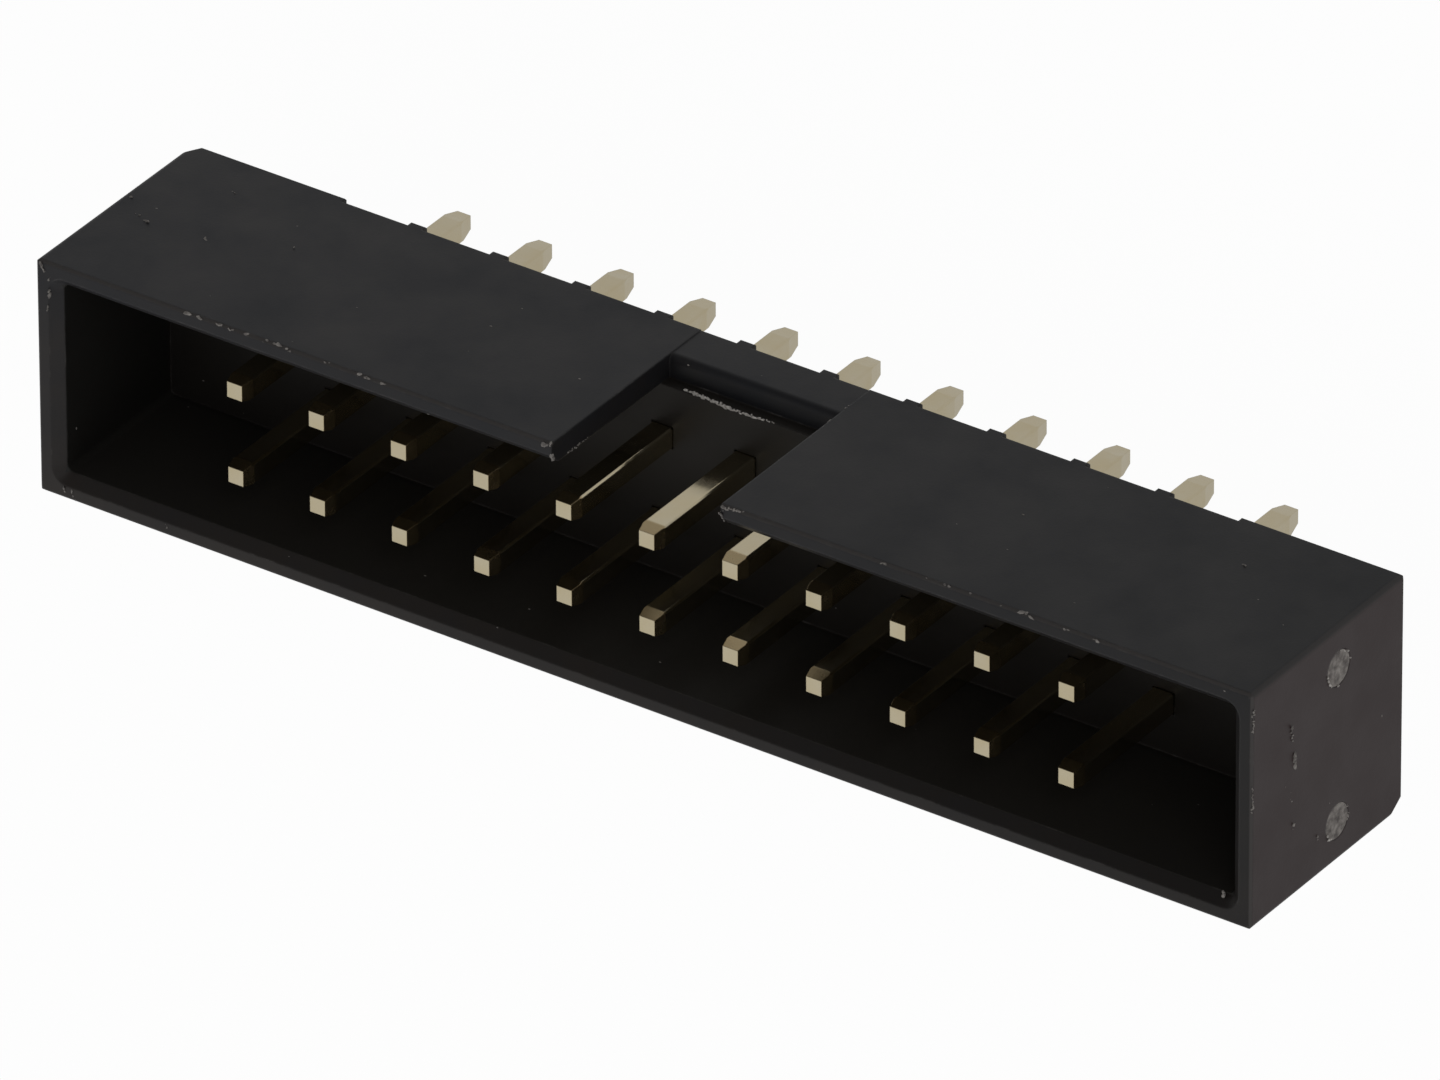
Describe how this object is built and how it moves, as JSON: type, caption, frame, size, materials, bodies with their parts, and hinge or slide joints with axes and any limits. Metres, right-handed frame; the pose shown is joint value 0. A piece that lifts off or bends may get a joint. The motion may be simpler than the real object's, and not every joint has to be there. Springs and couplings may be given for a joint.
{
  "type": "ribbon cable box header",
  "caption": "Straight two-row boxed pin header for ribbon cable, with a moulded shroud, a centre polarising notch, square contacts and solder tails.",
  "frame": {"origin": "centre of the seating plane, where the standoffs under the base meet the board, midway between the two rows and the two end walls", "axes": "+X along the rows towards contacts 1 and 2, +Y towards the long wall with the polarising notch, +Z out of the mouth, the way the cable socket leaves; the solder tails point along -Z"},
  "size_m": [0.0292, 0.0054, 0.0084],
  "materials": {
    "housing": "black glass-filled moulded polyester, fine matte",
    "contact": "bright thin plating over drawn square wire"
  },
  "bodies": {
    "root": {"housing": "housing", "pin_01": "contact", "pin_02": "contact", "pin_03": "contact", "pin_04": "contact", "pin_05": "contact", "pin_06": "contact", "pin_07": "contact", "pin_08": "contact", "pin_09": "contact", "pin_10": "contact", "pin_11": "contact", "pin_12": "contact", "pin_13": "contact", "pin_14": "contact", "pin_15": "contact", "pin_16": "contact", "pin_17": "contact", "pin_18": "contact", "pin_19": "contact", "pin_20": "contact", "pin_21": "contact", "pin_22": "contact"}
  },
  "joints": []
}
